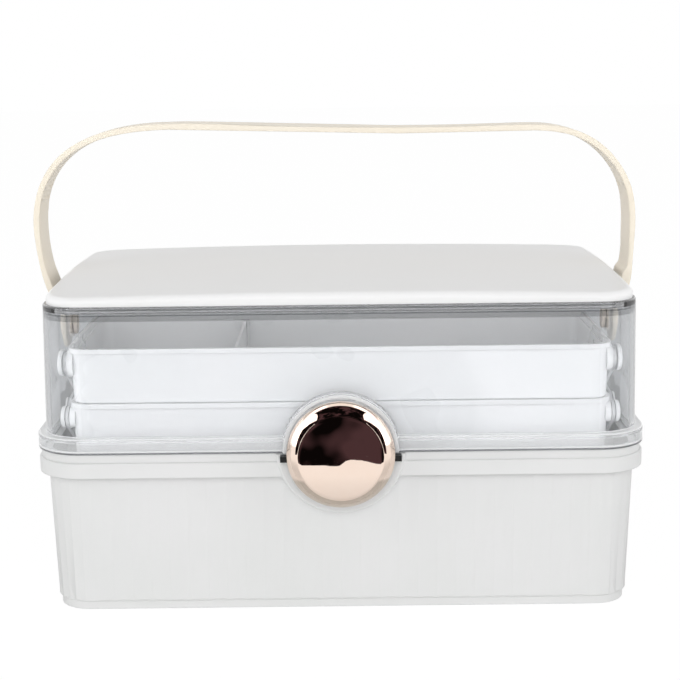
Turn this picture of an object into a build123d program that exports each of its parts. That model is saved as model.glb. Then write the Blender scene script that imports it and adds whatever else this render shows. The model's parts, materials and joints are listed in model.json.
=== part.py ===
"""Makeup storage case: white bin, clear lift-up cover, two cantilever trays,
a round push latch and a soft carrying strap. Front is -Y, millimetres."""
import os
from math import asin, cos, degrees, hypot, radians, sin, sqrt

from build123d import *

os.makedirs("parts", exist_ok=True)

# cover sizes
flange_length = 300.0          # widest rim of the cover, left to right
flange_depth = 190.0           # same rim, front to back
flange_corner = 24.0           # plan radius of the rim's corners
flange_height = 7.7
flange_wall = 2.4
seam_height = 81.4             # underside of the cover above the table
seam_gap = 0.4                 # daylight between cover and bin
cover_height = 71.3            # seam to the top edge of the clear wall
cover_step = 3.8               # clear wall stands this far inside the rim
cover_lean = 1.1               # extra inset of the wall at its top
cover_wall = 2.2
cover_corner = 21.0
cover_lip_width = 7.0          # shelf that carries the white cap
cover_lip_thickness = 3.4
cover_edge_radius = 1.0
cut_margin = 1.0               # how far a cutting tool runs past what it cuts
pick_room = 0.01               # tolerance when an edge is picked by its place

# cap sizes
cap_inset = 1.6                # cap stands this far inside the clear edge
cap_edge_height = 4.0          # thickness of the cap at its lowest corner
cap_crown_length = 2.0         # rise of the dome, left to right
cap_crown_depth = 2.6          # rise of the dome, front to back
cap_wall = 2.2
cap_edge_radius = 3.0
cap_skirt_depth = 4.0
cap_skirt_wall = 1.6
cap_fit = 0.2                  # daylight round the cap's skirt

# bin sizes
rim_length_inset = 0.2         # the bin's rim is this much inside the cover's rim
rim_band_height = 7.6          # lower, prouder band
rim_neck_height = 4.0          # upper, recessed band
rim_neck_inset = 1.2
rim_band_radius = 0.8
rim_skirt_wall = 2.2
rim_skirt_depth = 6.0
bin_top_inset = 4.2            # wall under the rim, inside the rim's edge
bin_foot_inset = 6.4           # wall at the foot, inside the rim's edge
bin_wall = 2.4
bin_floor = 2.6
bin_corner = 20.0
bin_foot_radius = 0.8
plinth_height = 4.2
plinth_inset = 0.4
flute_pitch = 9.4              # shallow upright flutes all round the wall
flute_depth = 0.25
flute_land = 0.5               # flat left between two flutes
corner_flutes = 3

# hinge sizes
hinge_pin_radius = 1.5
hinge_barrel_radius = 3.5
hinge_barrel_length = 12.0
hinge_barrel_gap = 0.4
hinge_spacing = 170.0          # between the two hinges' middles
hinge_clearance = 0.5          # barrel to the back of the rim
hinge_web_root = 1.0           # web reaches this far into the rim
running_fit = 0.05             # radial daylight of a turning shaft
press_fit = 0.02               # radial daylight of a pressed shaft

# tray sizes
tray_side_room = 17.3          # rim of the trays to the outside of the cover's rim
tray_depth = 97.0              # over the rim
tray_height = 26.9
tray_front_room = 10.5         # the same, at the front
tray_pitch = 27.2              # upper tray above lower tray
upper_rim_rise = 50.0          # upper tray's rim above the seam
tray_wall = 2.0
tray_floor = 1.8
tray_corner = 10.0
tray_rim_lip = 0.8
tray_rim_depth = 2.4
tray_lean = 1.0
tray_step_width = 0.8          # small step inside the rim
tray_step_depth = 3.0
tray_foot_depth = 1.0          # foot that dips into the tray below
tray_foot_gap = 1.0            # daylight between that foot and the tray below
divider_place = -51.3
divider_thickness = 1.6
divider_fit = 0.15
guide_thickness = 1.2
guide_reach = 2.0

# linkage sizes
arm_length = 50.0              # pin to pin
arm_width = 10.4
arm_thickness = 1.5
link_width = 9.0
link_thickness = 1.5
pivot_drop = 8.0               # pins below each tray's rim
front_pin_inset = 8.5          # foremost pin behind the trays' front
lower_pin_spacing = 22.0       # rear lower arm behind the front one
upper_root_inset = 50.5        # foremost upper arm's foot behind the trays' front
upper_pin_spacing = 32.0
pin_radius = 2.4
open_pivot_fit = 0.2           # radial daylight where the loop is left open
side_gap = 0.35                # daylight beside each moving plate
collar_reach = 0.8             # tray collars stand out of the wall this far
collar_radius = 5.0
big_cap_radius = 6.6           # caps of the upper tray's front pins
mid_cap_radius = 5.4           # caps of the lower tray's front pins
small_cap_radius = 4.6
cap_thickness = 2.0
thin_cap_thickness = 1.1
washer_radius = 3.8
pin_grip = 2.2                 # how deep a pin sits in its wall or boss
boss_radius = 5.2
boss_root = 0.8                # a boss runs this far into its wall

# handle sizes
strap_width = 25.0
strap_thickness = 3.1
strap_standoff = 1.6           # outer face at the pivots, outside the cover's rim
strap_pivot_rise = 47.6        # pivots above the seam
strap_straight_rise = 8.0      # straight stretch above the pivots
stud_radius = 3.0
stud_head_radius = 6.2
stud_head_thickness = 1.8
stud_gap = 0.3                 # daylight between strap, head and spacer
spacer_radius = 7.0
spacer_fit = 0.15
nut_radius = 5.6
nut_thickness = 2.0
strap_curve_steps = 22         # places where the strap's thickness is laid off
# outer face of the soft strap as it stands, each half from its foot upwards:
# how far outside the cover's rim, and how far above the pivots
strap_left_half = (
    (4.9, 22.0), (8.8, 41.0), (9.8, 56.0), (6.6, 73.0), (-4.0, 89.4),
    (-21.0, 100.0), (-42.0, 105.2), (-68.0, 106.6), (-110.0, 105.0),
)
strap_right_half = (
    (3.7, 20.0), (5.3, 36.0), (5.8, 56.0), (3.2, 71.6), (-3.8, 84.6),
    (-17.3, 96.9), (-37.0, 103.4), (-58.0, 104.0), (-90.0, 103.4), (-140.0, 103.6),
)

# latch sizes
button_radius = 26.0
button_rise = 1.2              # middle of the round button above the seam
button_edge = 2.4              # thickness of its rim
button_bevel_width = 5.4       # bevel between the rim and the face
button_bevel_rise = 6.0
button_bevel_bulge = 0.4
button_crown = 0.7             # rise of its face
button_edge_radius = 0.5
button_face_radius = 0.5       # rounding between the bevel and the face
lobe_standoff = 1.8            # face of both lobes, forward of the cover's rim
cover_lobe_radius = 28.6
bin_lobe_radius = 31.2
lobe_edge_radius = 1.2
lobe_bead_width = 2.6          # raised edge of the clear lobe
lobe_bead_rise = 0.9
lobe_bead_radius = 0.4
lobe_wall = 2.2
axle_radius = 0.9
axle_drop = 1.6                # axle below the seam
axle_standoff = 2.7            # axle forward of the lobes' face
hub_radius = 2.2
hub_length = 38.0
lug_inner = 21.0               # inner faces of the bracket's lugs
lug_outer = 29.2               # their ends show beside the button
lug_height = 2.8
lug_post_width = 3.0           # post that carries each lug
lug_post_depth = 3.0           # less deep, so that the pressed button clears it
lug_depth = 4.4
bracket_bottom_drop = 9.0      # bracket plate below the seam
bracket_plate_height = 4.4
bracket_plate_thickness = 1.4
rocker_half_width = 14.0
rocker_top = 13.5              # plate above the button's middle
rocker_tail = 15.2             # plate below the axle
press_angle = 6.0              # how far the button tips
rocker_plate_thickness = 2.0
nose_half_width = 5.0
nose_height = 2.2
nose_base = 8.0                # nose above the button's middle
nose_clearance = 0.3
bead_half_width = 6.0
bead_height = 1.6
bead_reach = 1.2
bead_gap = 0.5                 # bead below the nose
button_screw_radius = 1.2
button_screw_spacing = 20.0
button_screw_rise = 10.0       # screws above the button's middle
button_screw_head_radius = 2.2
button_screw_head = 1.4
button_screw_depth = 3.0
leaf_thickness = 0.4
leaf_half_width = 4.0
leaf_foot = 20.2               # foot of the spring below the axle
leaf_foot_height = 4.0
leaf_crest = 10.2              # crest below the axle
leaf_gap = 0.3                 # crest to the pressed plate, tip to the bracket
leaf_tip_back = 0.7            # tip behind the crest

# derived places
half_length = flange_length / 2
half_depth = flange_depth / 2
tray_length = flange_length - 2 * tray_side_room
tray_front = half_depth - tray_front_room
upper_rim_height = seam_height + upper_rim_rise
front_pin_place = front_pin_inset - tray_front
upper_arm_root = upper_root_inset - tray_front
strap_end_outer = half_length + strap_standoff
strap_pivot_height = seam_height + strap_pivot_rise
button_height = seam_height + button_rise
lobe_front = half_depth + lobe_standoff
cover_top = seam_height + cover_height
bin_top = seam_height - seam_gap
rim_half_length = half_length - rim_length_inset
rim_half_depth = half_depth - rim_length_inset
band_top = bin_top - rim_neck_height
band_bottom = band_top - rim_band_height
flange_top = seam_height + flange_height
wall_foot_half_length = half_length - cover_step
wall_foot_half_depth = half_depth - cover_step
hinge_y = half_depth + hinge_clearance + hinge_barrel_radius
hinge_z = seam_height - seam_gap / 2
tray_middle = -tray_front + tray_depth / 2
lower_rim_height = upper_rim_height - tray_pitch
arm_run = sqrt(arm_length ** 2 - tray_pitch ** 2)
arm_angle = degrees(asin(tray_pitch / arm_length))
lower_pin_z = lower_rim_height - pivot_drop
upper_pin_z = upper_rim_height - pivot_drop
base_pin_z = lower_pin_z - tray_pitch
lower_pins_y = (front_pin_place, front_pin_place + lower_pin_spacing)
base_pins_y = tuple(place + arm_run for place in lower_pins_y)
upper_roots_y = (upper_arm_root, upper_arm_root + upper_pin_spacing)
upper_pins_y = tuple(place - arm_run for place in upper_roots_y)
lid_pin_y = hinge_y - arm_run
lid_pin_z = hinge_z + tray_pitch
tray_side = tray_length / 2 - tray_rim_lip
collar_face = tray_side + collar_reach
arm_inner = collar_face + side_gap
arm_outer = arm_inner + arm_thickness
cap_face = arm_outer + side_gap
link_inner = cap_face + thin_cap_thickness + side_gap
link_outer = link_inner + link_thickness
axle_y = -(lobe_front + axle_standoff)
axle_z = seam_height - axle_drop
rocker_back = axle_standoff + (hub_radius - rocker_plate_thickness) + lobe_front
rocker_front = rocker_back + rocker_plate_thickness
button_back = rocker_front


def roundedFace(half_x, half_y, corner, height, middle_y=0.0):
    """Rounded rectangle lying at one height."""
    with BuildSketch(Plane.XY.offset(height)) as outline:
        with Locations((0, middle_y)):
            RectangleRounded(2 * half_x, 2 * half_y, corner)
    return outline.sketch


def crossBar(radius, x_from, x_to, place_y, place_z):
    """Round bar along X between two places."""
    with BuildPart() as bar:
        with BuildSketch(Plane.YZ.offset(min(x_from, x_to))):
            with Locations((place_y, place_z)):
                Circle(radius)
        extrude(amount=abs(x_to - x_from))
    return bar.part


def wallAt(height, foot_z, top_z, foot_half, top_half):
    """Half width of a leaning wall at one height."""
    return foot_half + (top_half - foot_half) * (height - foot_z) / (top_z - foot_z)


def halfDisc(radius, y_from, y_to, cut_height, above, middle):
    """Half of a disc that faces the front, above or below one height."""
    with BuildPart() as lobe:
        with BuildSketch(Plane.XZ.offset(y_from)):
            with Locations((0, middle)):
                Circle(radius)
            side = 1 if above else -1
            with Locations((0, cut_height - side * 2 * radius)):
                Rectangle(4 * radius, 4 * radius, mode=Mode.SUBTRACT)
        extrude(amount=y_to - y_from)
    return lobe.part


# the bin
bin_foot_half_length = rim_half_length - bin_foot_inset
bin_foot_half_depth = rim_half_depth - bin_foot_inset
bin_top_half_length = rim_half_length - bin_top_inset
bin_top_half_depth = rim_half_depth - bin_top_inset
bin_foot_corner = bin_corner - (bin_foot_inset - bin_top_inset)
bin_lobe_root = bin_foot_half_depth - bin_wall
plinth_half_length = bin_foot_half_length - bin_foot_radius - plinth_inset
plinth_half_depth = bin_foot_half_depth - bin_foot_radius - plinth_inset
plinth_corner = bin_foot_corner - bin_foot_radius - plinth_inset

flute_foot = plinth_height + bin_foot_radius
flute_rise = band_bottom - flute_foot
flute_half = (flute_pitch - flute_land) / 2
flute_radius = (flute_half ** 2 + flute_depth ** 2) / (2 * flute_depth)
wall_lean = (bin_foot_inset - bin_top_inset) / (band_bottom - plinth_height)
flute_lift = (flute_foot - plinth_height) * wall_lean


def makeFlutes(middle, across, outward, count):
    """Row of leaning round cutters outside a wall, one solid."""
    reach = flute_lift + flute_radius - flute_depth
    with BuildPart() as cutters:
        with BuildSketch(Plane.XY.offset(flute_foot)):
            for number in range(count):
                shift = (number - (count - 1) / 2) * flute_pitch
                with Locations((
                    middle[0] + outward[0] * reach + across[0] * shift,
                    middle[1] + outward[1] * reach + across[1] * shift,
                )):
                    Circle(flute_radius)
        extrude(
            amount=hypot(flute_rise, flute_rise * wall_lean),
            dir=(outward[0] * wall_lean, outward[1] * wall_lean, 1),
        )
    return cutters.part


straight_length = bin_foot_half_length - bin_foot_corner
straight_depth = bin_foot_half_depth - bin_foot_corner
length_flutes = int(2 * straight_length / flute_pitch)
depth_flutes = int(2 * straight_depth / flute_pitch)
fluted_walls = []
for side in (-1, 1):
    fluted_walls.append(((0, side * bin_foot_half_depth), (1, 0), (0, side), length_flutes))
    fluted_walls.append(((side * bin_foot_half_length, 0), (0, 1), (side, 0), depth_flutes))
    for end in (-1, 1):
        for number in range(corner_flutes):
            turn = radians(90 * (number + 0.5) / corner_flutes)
            outward = (side * cos(turn), end * sin(turn))
            corner_place = (
                side * straight_length + outward[0] * bin_foot_corner,
                end * straight_depth + outward[1] * bin_foot_corner,
            )
            fluted_walls.append((corner_place, (0, 0), outward, 1))

with BuildPart() as base_bin:
    loft(sections=[
        roundedFace(bin_foot_half_length, bin_foot_half_depth, bin_foot_corner, plinth_height),
        roundedFace(bin_top_half_length, bin_top_half_depth, bin_corner, band_bottom),
    ])
    fillet(base_bin.edges().group_by(Axis.Z)[0], radius=bin_foot_radius)
    # shallow upright flutes on all four walls and round the corners
    for middle, across, outward, count in fluted_walls:
        add(makeFlutes(middle, across, outward, count), mode=Mode.SUBTRACT)
    # plinth, a little inside the wall
    with BuildSketch():
        RectangleRounded(2 * plinth_half_length, 2 * plinth_half_depth, plinth_corner)
    extrude(amount=plinth_height)
    # rim: proud band with a recessed neck above it
    with BuildSketch(Plane.XY.offset(band_bottom)):
        RectangleRounded(2 * rim_half_length, 2 * rim_half_depth, flange_corner - rim_length_inset)
    extrude(amount=rim_band_height)
    fillet(
        base_bin.edges().filter_by_position(Axis.Z, band_top - pick_room, band_top + pick_room),
        radius=rim_band_radius,
    )
    with BuildSketch(Plane.XY.offset(band_top)):
        RectangleRounded(
            2 * (rim_half_length - rim_neck_inset),
            2 * (rim_half_depth - rim_neck_inset),
            flange_corner - rim_length_inset - rim_neck_inset,
        )
    extrude(amount=rim_neck_height)
    # hollow under the rim, so that it is a skirt
    with BuildSketch(Plane.XY.offset(band_bottom)):
        RectangleRounded(
            2 * (rim_half_length - rim_skirt_wall),
            2 * (rim_half_depth - rim_skirt_wall),
            flange_corner - rim_length_inset - rim_skirt_wall,
        )
        RectangleRounded(
            2 * bin_top_half_length, 2 * bin_top_half_depth, bin_corner, mode=Mode.SUBTRACT
        )
    extrude(amount=rim_skirt_depth, mode=Mode.SUBTRACT)
    # round lobe behind the lower half of the button
    add(halfDisc(bin_lobe_radius, bin_lobe_root, lobe_front, bin_top, False, button_height))
    fillet(
        base_bin.edges().filter_by(GeomType.CIRCLE).filter_by_position(
            Axis.Y, -lobe_front - pick_room, -lobe_front + pick_room
        ),
        radius=lobe_edge_radius,
    )
    # inside of the bin
    loft(
        sections=[
            roundedFace(
                bin_foot_half_length - bin_wall,
                bin_foot_half_depth - bin_wall,
                bin_foot_corner - bin_wall,
                plinth_height + bin_floor,
            ),
            roundedFace(
                bin_top_half_length - bin_wall,
                bin_top_half_depth - bin_wall,
                bin_corner - bin_wall,
                band_bottom,
            ),
        ],
        mode=Mode.SUBTRACT,
    )
    with BuildSketch(Plane.XY.offset(band_bottom)):
        RectangleRounded(
            2 * (bin_top_half_length - bin_wall),
            2 * (bin_top_half_depth - bin_wall),
            bin_corner - bin_wall,
        )
    extrude(amount=bin_top - band_bottom, mode=Mode.SUBTRACT)
    # sunken floor inside the plinth
    with BuildSketch(Plane.XY.offset(bin_floor)):
        RectangleRounded(
            2 * (plinth_half_length - bin_wall),
            2 * (plinth_half_depth - bin_wall),
            plinth_corner - bin_wall,
        )
    extrude(amount=plinth_height, mode=Mode.SUBTRACT)
    # hollow of the lobe
    add(
        halfDisc(
            bin_lobe_radius - lobe_wall,
            bin_lobe_root - bin_wall,
            lobe_front - lobe_wall,
            bin_top,
            False,
            button_height,
        ),
        mode=Mode.SUBTRACT,
    )
    # bosses that carry the lower arms
    for side in (-1, 1):
        for place in base_pins_y:
            inner_wall = bin_top_half_length - bin_wall
            add(crossBar(boss_radius, side * cap_face, side * (inner_wall + boss_root),
                         place, base_pin_z))
            add(crossBar(pin_radius + press_fit, side * cap_face,
                         side * (cap_face + pin_grip), place, base_pin_z), mode=Mode.SUBTRACT)
    # hinge barrels with their webs, two to a hinge
    for hinge_side in (-1, 1):
        for barrel_side in (-1, 1):
            barrel_middle = (
                hinge_side * hinge_spacing / 2
                + barrel_side * (hinge_barrel_length + hinge_barrel_gap)
            )
            with BuildSketch(Plane.YZ.offset(barrel_middle - hinge_barrel_length / 2)):
                with Locations((hinge_y, hinge_z)):
                    Circle(hinge_barrel_radius)
                with Locations((
                    (rim_half_depth - rim_neck_inset - hinge_web_root + hinge_y) / 2,
                    bin_top - hinge_barrel_radius / 2,
                )):
                    Rectangle(
                        hinge_y - (rim_half_depth - rim_neck_inset - hinge_web_root),
                        hinge_barrel_radius,
                    )
            extrude(amount=hinge_barrel_length)
        pin_span = 1.5 * hinge_barrel_length + hinge_barrel_gap
        add(crossBar(
            hinge_pin_radius + press_fit,
            hinge_side * hinge_spacing / 2 - pin_span - cut_margin,
            hinge_side * hinge_spacing / 2 + pin_span + cut_margin,
            hinge_y,
            hinge_z,
        ), mode=Mode.SUBTRACT)
base_bin.part.label = "base_bin"

# hinge pins
with BuildPart() as hinge_pins:
    for hinge_side in (-1, 1):
        add(crossBar(
            hinge_pin_radius,
            hinge_side * hinge_spacing / 2 - 1.5 * hinge_barrel_length - hinge_barrel_gap,
            hinge_side * hinge_spacing / 2 + 1.5 * hinge_barrel_length + hinge_barrel_gap,
            hinge_y,
            hinge_z,
        ))
hinge_pins.part.label = "hinge_pins"

# the clear cover
wall_top_half_length = wall_foot_half_length - cover_lean
wall_top_half_depth = wall_foot_half_depth - cover_lean
cover_top_corner = cover_corner - cover_lean
cover_lobe_root = wall_foot_half_depth - cover_wall
cover_ceiling = cover_top - cover_lip_thickness
bead_z = button_height + nose_base - bead_gap - bead_height

with BuildPart() as clear_cover:
    with BuildSketch(Plane.XY.offset(seam_height)):
        RectangleRounded(flange_length, flange_depth, flange_corner)
    extrude(amount=flange_height)
    fillet(clear_cover.edges().group_by(Axis.Z)[-1], radius=cover_edge_radius)
    loft(sections=[
        roundedFace(wall_foot_half_length, wall_foot_half_depth, cover_corner, flange_top),
        roundedFace(wall_top_half_length, wall_top_half_depth, cover_top_corner, cover_top),
    ])
    fillet(clear_cover.edges().group_by(Axis.Z)[-1], radius=cover_edge_radius)
    # arched lobe round the upper half of the button
    add(halfDisc(cover_lobe_radius, cover_lobe_root, lobe_front, seam_height, True,
                 button_height))
    fillet(
        clear_cover.edges().filter_by(GeomType.CIRCLE).filter_by_position(
            Axis.Y, -lobe_front - pick_room, -lobe_front + pick_room
        ),
        radius=lobe_edge_radius,
    )
    # raised edge of the lobe, clear of the bracket's lugs
    bead_foot = axle_z + lug_height / 2 + side_gap
    bead_inner = cover_lobe_radius - lobe_bead_width
    with BuildSketch(Plane.XZ.offset(lobe_front - lobe_wall / 2)):
        with Locations((0, button_height)):
            Circle(cover_lobe_radius - lobe_edge_radius / 2)
            Circle(bead_inner, mode=Mode.SUBTRACT)
        with Locations((0, bead_foot - 2 * cover_lobe_radius)):
            Rectangle(4 * cover_lobe_radius, 4 * cover_lobe_radius, mode=Mode.SUBTRACT)
    extrude(amount=lobe_wall / 2 + lobe_bead_rise)
    fillet(
        clear_cover.edges().filter_by(GeomType.CIRCLE).filter_by_position(
            Axis.Y,
            -lobe_front - lobe_bead_rise - pick_room,
            -lobe_front - lobe_bead_rise + pick_room,
        ),
        radius=lobe_bead_radius,
    )
    # inside of the walls, of the rim and of the lobe
    loft(
        sections=[
            roundedFace(
                wall_foot_half_length - cover_wall,
                wall_foot_half_depth - cover_wall,
                cover_corner - cover_wall,
                flange_top,
            ),
            roundedFace(
                wallAt(cover_ceiling, flange_top, cover_top, wall_foot_half_length,
                       wall_top_half_length) - cover_wall,
                wallAt(cover_ceiling, flange_top, cover_top, wall_foot_half_depth,
                       wall_top_half_depth) - cover_wall,
                wallAt(cover_ceiling, flange_top, cover_top, cover_corner,
                       cover_top_corner) - cover_wall,
                cover_ceiling,
            ),
        ],
        mode=Mode.SUBTRACT,
    )
    with BuildSketch(Plane.XY.offset(seam_height)):
        RectangleRounded(
            2 * (wall_foot_half_length - cover_wall),
            2 * (wall_foot_half_depth - cover_wall),
            cover_corner - cover_wall,
        )
    extrude(amount=flange_height, mode=Mode.SUBTRACT)
    with BuildSketch(Plane.XY.offset(seam_height)):
        RectangleRounded(
            flange_length - 2 * flange_wall,
            flange_depth - 2 * flange_wall,
            flange_corner - flange_wall,
        )
    extrude(amount=flange_height - flange_wall, mode=Mode.SUBTRACT)
    add(
        halfDisc(
            cover_lobe_radius - lobe_wall,
            cover_lobe_root - cover_wall,
            lobe_front - lobe_wall,
            seam_height,
            True,
            button_height,
        ),
        mode=Mode.SUBTRACT,
    )
    # opening under the cap
    lip_half_length = wall_top_half_length - cover_wall - cover_lip_width
    lip_half_depth = wall_top_half_depth - cover_wall - cover_lip_width
    lip_corner = cover_top_corner - cover_wall - cover_lip_width
    with BuildSketch(Plane.XY.offset(cover_ceiling)):
        RectangleRounded(2 * lip_half_length, 2 * lip_half_depth, lip_corner)
    extrude(amount=cover_lip_thickness, mode=Mode.SUBTRACT)
    # catch bead in front of the lobe
    with BuildSketch(Plane.XZ.offset(lobe_front - lobe_wall / 2)):
        with Locations((0, bead_z + bead_height / 2)):
            Rectangle(2 * bead_half_width, bead_height)
    extrude(amount=bead_reach + lobe_wall / 2)
    # bosses for the lid links, and holes for the strap's studs
    lid_boss_wall = wallAt(lid_pin_z, flange_top, cover_top, wall_foot_half_length,
                           wall_top_half_length) - cover_wall
    for side in (-1, 1):
        add(crossBar(boss_radius, side * (link_outer + side_gap),
                     side * (lid_boss_wall + boss_root), lid_pin_y, lid_pin_z))
        add(crossBar(pin_radius + press_fit, side * (link_outer + side_gap),
                     side * (link_outer + side_gap + pin_grip), lid_pin_y, lid_pin_z),
            mode=Mode.SUBTRACT)
        add(crossBar(stud_radius + press_fit, side * (half_length - 4 * cover_wall),
                     side * (half_length + cover_wall), 0, strap_pivot_height),
            mode=Mode.SUBTRACT)
    # middle hinge barrels with their webs
    for hinge_side in (-1, 1):
        hinge_middle = hinge_side * hinge_spacing / 2
        web_front = half_depth - flange_wall / 2
        with BuildSketch(Plane.YZ.offset(hinge_middle - hinge_barrel_length / 2)):
            with Locations((hinge_y, hinge_z)):
                Circle(hinge_barrel_radius)
            with Locations(((web_front + hinge_y) / 2, seam_height + hinge_barrel_radius / 2)):
                Rectangle(hinge_y - web_front, hinge_barrel_radius)
        extrude(amount=hinge_barrel_length)
        add(crossBar(
            hinge_pin_radius + running_fit,
            hinge_middle - hinge_barrel_length,
            hinge_middle + hinge_barrel_length,
            hinge_y,
            hinge_z,
        ), mode=Mode.SUBTRACT)
clear_cover.part.label = "clear_cover"


def crownedSlab(half_x, half_y, corner, low_z, edge_z, rise_x, rise_y):
    """Rounded slab whose top is domed both ways."""
    crown_radius = (half_y ** 2 + rise_y ** 2) / (2 * rise_y)
    top_z = edge_z + rise_x + rise_y
    swing = 2 * degrees(asin(half_y / crown_radius))
    leaning = Plane(
        origin=(0, 0, top_z - crown_radius),
        x_dir=(1, 0, 0),
        z_dir=(0, -cos(radians(swing)), -sin(radians(swing))),
    )
    with BuildPart() as dome:
        with BuildSketch(leaning):
            with BuildLine():
                ThreePointArc(
                    (-2 * half_x, crown_radius - 4 * rise_x),
                    (0, crown_radius),
                    (2 * half_x, crown_radius - 4 * rise_x),
                )
                Polyline(
                    (2 * half_x, crown_radius - 4 * rise_x),
                    (2 * half_x, crown_radius / 2),
                    (-2 * half_x, crown_radius / 2),
                    (-2 * half_x, crown_radius - 4 * rise_x),
                )
            make_face()
        revolve(
            axis=Axis((0, 0, top_z - crown_radius), (-1, 0, 0)),
            revolution_arc=2 * swing,
        )
    with BuildPart() as slab:
        with BuildSketch(Plane.XY.offset(low_z)):
            RectangleRounded(2 * half_x, 2 * half_y, corner)
        extrude(amount=top_z - low_z)
        add(dome.part, mode=Mode.INTERSECT)
    return slab.part


# the white cap
with BuildPart() as lid_cap:
    add(crownedSlab(wall_top_half_length - cap_inset, wall_top_half_depth - cap_inset,
                    cover_top_corner - cap_inset, cover_top, cover_top + cap_edge_height,
                    cap_crown_length, cap_crown_depth))
    top_rim = lid_cap.faces().sort_by(Axis.Z)[-1].outer_wire().edges()
    fillet(top_rim, radius=cap_edge_radius)
    with BuildSketch(Plane.XY.offset(cover_top - cap_skirt_depth)):
        RectangleRounded(2 * (lip_half_length - cap_fit), 2 * (lip_half_depth - cap_fit),
                         lip_corner - cap_fit)
    extrude(amount=cap_skirt_depth)
    core_inset = cap_fit + cap_skirt_wall
    add(
        crownedSlab(
            lip_half_length - core_inset,
            lip_half_depth - core_inset,
            lip_corner - core_inset,
            cover_top - cap_skirt_depth,
            cover_top + cap_edge_height - cap_wall,
            cap_crown_length,
            cap_crown_depth,
        ),
        mode=Mode.SUBTRACT,
    )
lid_cap.part.label = "lid_cap"


# the trays
def makeTray(rim_z, pins):
    """Open tray with collars on both ends, pins as (place, collar radius)."""
    wall_half_x = tray_length / 2 - tray_rim_lip
    wall_half_y = tray_depth / 2 - tray_rim_lip
    wall_corner = tray_corner - tray_rim_lip
    foot_z = rim_z - tray_height
    floor_z = foot_z - tray_foot_depth + tray_floor
    step_inset = tray_step_width - tray_wall
    with BuildPart() as tray:
        loft(sections=[
            roundedFace(wall_half_x - tray_lean, wall_half_y - tray_lean,
                        wall_corner - tray_lean, foot_z, tray_middle),
            roundedFace(wall_half_x, wall_half_y, wall_corner, rim_z, tray_middle),
        ])
        with BuildSketch(Plane.XY.offset(rim_z - tray_rim_depth)):
            with Locations((0, tray_middle)):
                RectangleRounded(tray_length, tray_depth, tray_corner)
        extrude(amount=tray_rim_depth)
        # foot that nests inside the rim of the tray below
        with BuildSketch(Plane.XY.offset(foot_z - tray_foot_depth)):
            with Locations((0, tray_middle)):
                RectangleRounded(
                    2 * (wall_half_x + step_inset - tray_foot_gap),
                    2 * (wall_half_y + step_inset - tray_foot_gap),
                    wall_corner + step_inset - tray_foot_gap,
                )
        extrude(amount=tray_foot_depth)
        for side in (-1, 1):
            for place, radius in pins:
                add(crossBar(radius, side * (wall_half_x - tray_wall), side * collar_face,
                             place, rim_z - pivot_drop))
        loft(
            sections=[
                roundedFace(wall_half_x - tray_lean - tray_wall,
                            wall_half_y - tray_lean - tray_wall,
                            wall_corner - tray_lean - tray_wall, floor_z, tray_middle),
                roundedFace(wall_half_x - tray_wall, wall_half_y - tray_wall,
                            wall_corner - tray_wall, rim_z, tray_middle),
            ],
            mode=Mode.SUBTRACT,
        )
        # step inside the rim
        with BuildSketch(Plane.XY.offset(rim_z - tray_step_depth)):
            with Locations((0, tray_middle)):
                RectangleRounded(2 * (wall_half_x + step_inset), 2 * (wall_half_y + step_inset),
                                 wall_corner + step_inset)
        extrude(amount=tray_step_depth, mode=Mode.SUBTRACT)
        for side in (-1, 1):
            for place, radius in pins:
                add(crossBar(pin_radius + press_fit, side * (collar_face - 2 * pin_grip),
                             side * collar_face, place, rim_z - pivot_drop),
                    mode=Mode.SUBTRACT)
    return tray.part


lower_pins = (
    (lower_pins_y[0], mid_cap_radius),
    (lower_pins_y[1], collar_radius),
    (upper_roots_y[0], collar_radius),
    (upper_roots_y[1], collar_radius),
)
upper_pins = ((upper_pins_y[0], big_cap_radius), (upper_pins_y[1], collar_radius))

with BuildPart() as lower_tray:
    add(makeTray(lower_rim_height, lower_pins))
lower_tray.part.label = "lower_tray"

divider_inner = tray_depth / 2 - tray_rim_lip - tray_wall - tray_lean
divider_foot = upper_rim_height - tray_height - tray_foot_depth + tray_floor
with BuildPart() as upper_tray:
    add(makeTray(upper_rim_height, upper_pins))
    # pairs of guide ribs that hold the divider
    for wall_side in (-1, 1):
        for rib_side in (-1, 1):
            rib_middle = divider_place + rib_side * (
                divider_thickness / 2 + divider_fit + guide_thickness / 2
            )
            with BuildSketch(Plane.XY.offset(divider_foot - tray_floor / 2)):
                with Locations((rib_middle, tray_middle + wall_side * divider_inner)):
                    Rectangle(guide_thickness, 2 * guide_reach)
            extrude(amount=upper_rim_height - tray_step_depth - divider_foot + tray_floor / 2)
upper_tray.part.label = "upper_tray"

with BuildPart() as tray_divider:
    with BuildSketch(Plane.XY.offset(divider_foot + divider_fit)):
        with Locations((divider_place, tray_middle)):
            Rectangle(divider_thickness, 2 * (divider_inner - divider_fit))
    extrude(amount=upper_rim_height - tray_step_depth - divider_foot - divider_fit)
tray_divider.part.label = "tray_divider"


# arms and lid links
def makePlate(start, finish, width, thickness, inner_x, side, start_fit, finish_fit):
    """Flat link with a hole at each end, lying beside the trays."""
    length = hypot(finish[0] - start[0], finish[1] - start[1])
    tilt = degrees(asin((finish[1] - start[1]) / length))
    if finish[0] < start[0]:
        tilt = -tilt
    low_x = inner_x if side > 0 else -inner_x - thickness
    with BuildPart() as plate:
        with BuildSketch(Plane.YZ.offset(low_x)):
            with Locations(((start[0] + finish[0]) / 2, (start[1] + finish[1]) / 2)):
                SlotCenterToCenter(length, width, rotation=tilt)
            with Locations(start):
                Circle(pin_radius + start_fit, mode=Mode.SUBTRACT)
            with Locations(finish):
                Circle(pin_radius + finish_fit, mode=Mode.SUBTRACT)
        extrude(amount=thickness)
    return plate.part


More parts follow.
